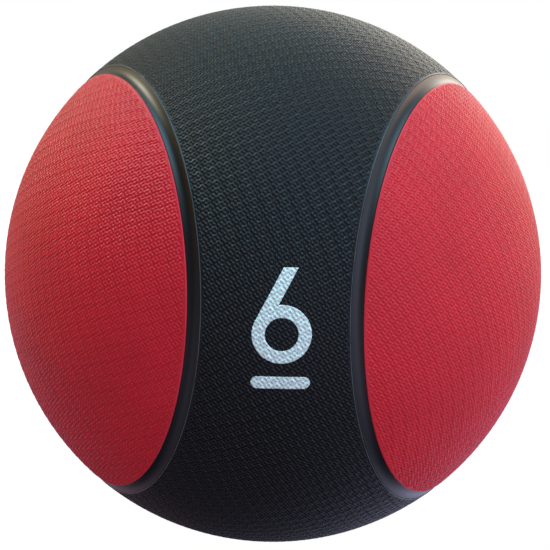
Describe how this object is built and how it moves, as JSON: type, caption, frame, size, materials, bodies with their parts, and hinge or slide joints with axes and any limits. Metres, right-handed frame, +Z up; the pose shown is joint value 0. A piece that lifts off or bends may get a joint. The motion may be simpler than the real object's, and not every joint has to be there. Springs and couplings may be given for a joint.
{
  "type": "rubber medicine ball",
  "caption": "Round inflated exercise ball of thick weighted rubber: textured black cover with round red panels set in smooth sunken seams, and a needle valve on top.",
  "frame": {"origin": "the ball's centre", "axes": "+Z up through the valve, -Y the front, where the black cover carries the weight mark between two red panels, +X the front view's right"},
  "size_m": [0.2398, 0.2399, 0.2398],
  "materials": {
    "black_cover_rubber": "satin moulded rubber with a fine net texture",
    "red_panel_rubber": "satin moulded rubber with a fine net texture",
    "seam_rubber": "smooth satin",
    "weighted_rubber": "matt, filled",
    "nylon_thread": "wound thread",
    "butyl_rubber": "smooth",
    "valve_rubber": "smooth satin",
    "plug_rubber": "smooth"
  },
  "bodies": {
    "root": {"cover_black": "black_cover_rubber", "panel_red_left": "red_panel_rubber", "panel_red_right": "red_panel_rubber", "panel_red_back": "red_panel_rubber", "seam_strip_left": "seam_rubber", "seam_strip_right": "seam_rubber", "seam_strip_back": "seam_rubber", "weight_layer_upper": "weighted_rubber", "weight_layer_lower": "weighted_rubber", "winding_layer": "nylon_thread", "bladder": "butyl_rubber", "valve_housing": "valve_rubber", "valve_plug": "plug_rubber"}
  },
  "joints": []
}
